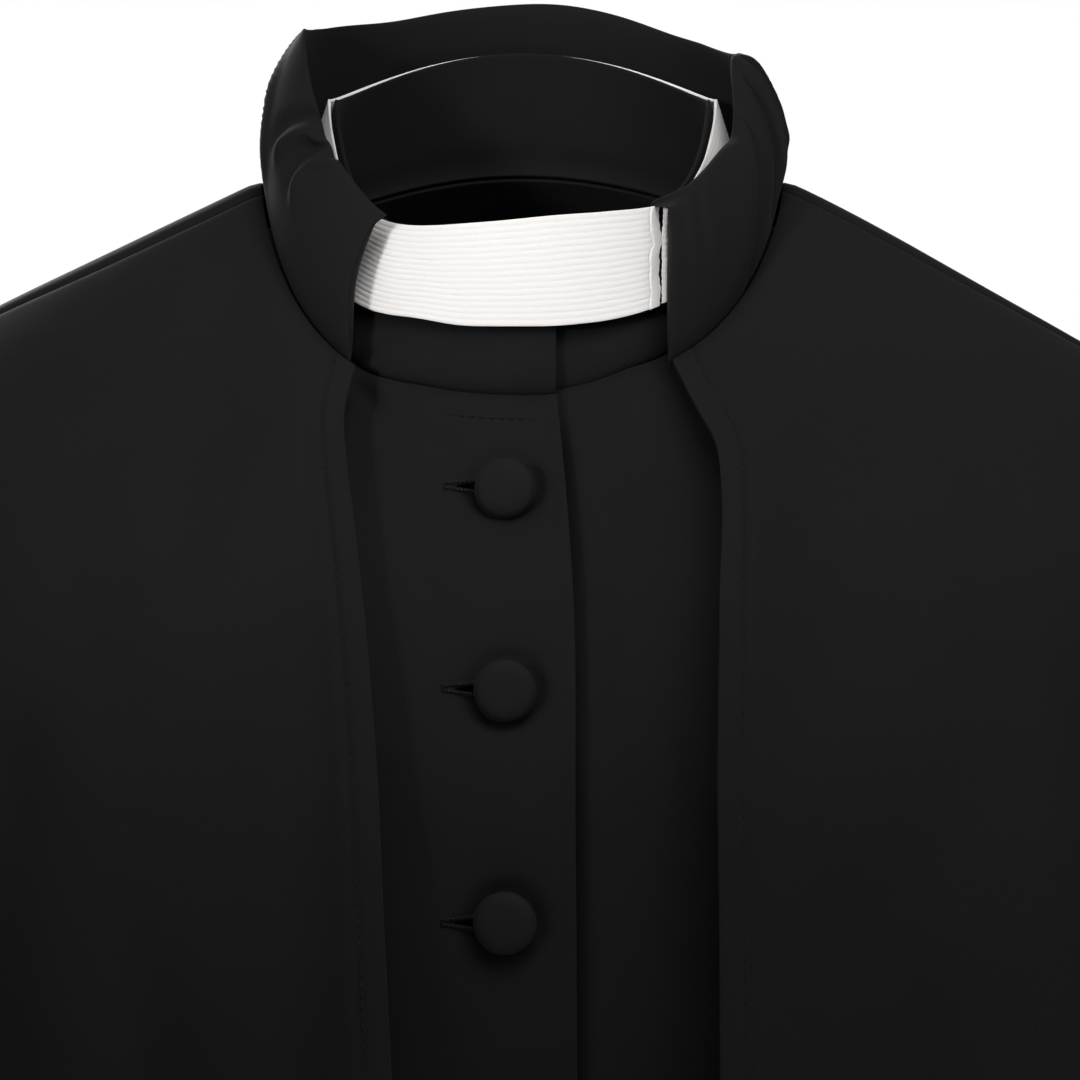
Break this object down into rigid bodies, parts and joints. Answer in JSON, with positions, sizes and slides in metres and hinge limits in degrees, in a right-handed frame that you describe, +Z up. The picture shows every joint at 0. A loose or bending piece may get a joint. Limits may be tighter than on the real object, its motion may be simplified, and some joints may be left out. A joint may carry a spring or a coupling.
{
  "type": "cassock with shoulder cape",
  "caption": "Long black buttoned cassock with stand collar, white ribbed neck band and an open elbow-length shoulder cape with a padded collar, in worn form.",
  "frame": {"origin": "middle of the neck base, level with the cape's neck seam at the sides of the neck, where the wearer's shoulders hold the garment", "axes": "+Z up along the wearer's spine, -Y out of the front, +X to the wearer's left"},
  "size_m": [0.6704, 0.4766, 1.4402],
  "materials": {
    "cassock_cloth": "matte black close twill",
    "collar_cloth": "matte black cloth, interfaced",
    "white_band": "white ribbed cotton",
    "cape_cloth": "matte black close twill",
    "padded_collar_cloth": "matte black cloth over soft padding",
    "covered_button": "black cloth over a domed shell"
  },
  "bodies": {
    "root": {"front_right": "cassock_cloth", "front_left": "cassock_cloth", "back": "cassock_cloth", "sleeve_right": "cassock_cloth", "sleeve_left": "cassock_cloth", "stand_collar": "collar_cloth", "clerical_band": "white_band", "cape_front_right": "cape_cloth", "cape_front_left": "cape_cloth", "cape_back": "cape_cloth", "cape_collar": "padded_collar_cloth", "button_01": "covered_button", "button_02": "covered_button", "button_03": "covered_button", "button_04": "covered_button", "button_05": "covered_button", "button_06": "covered_button", "button_07": "covered_button", "button_08": "covered_button", "button_09": "covered_button", "button_10": "covered_button", "button_11": "covered_button", "button_12": "covered_button", "button_13": "covered_button", "button_14": "covered_button", "button_15": "covered_button", "button_16": "covered_button", "button_17": "covered_button"}
  },
  "joints": []
}
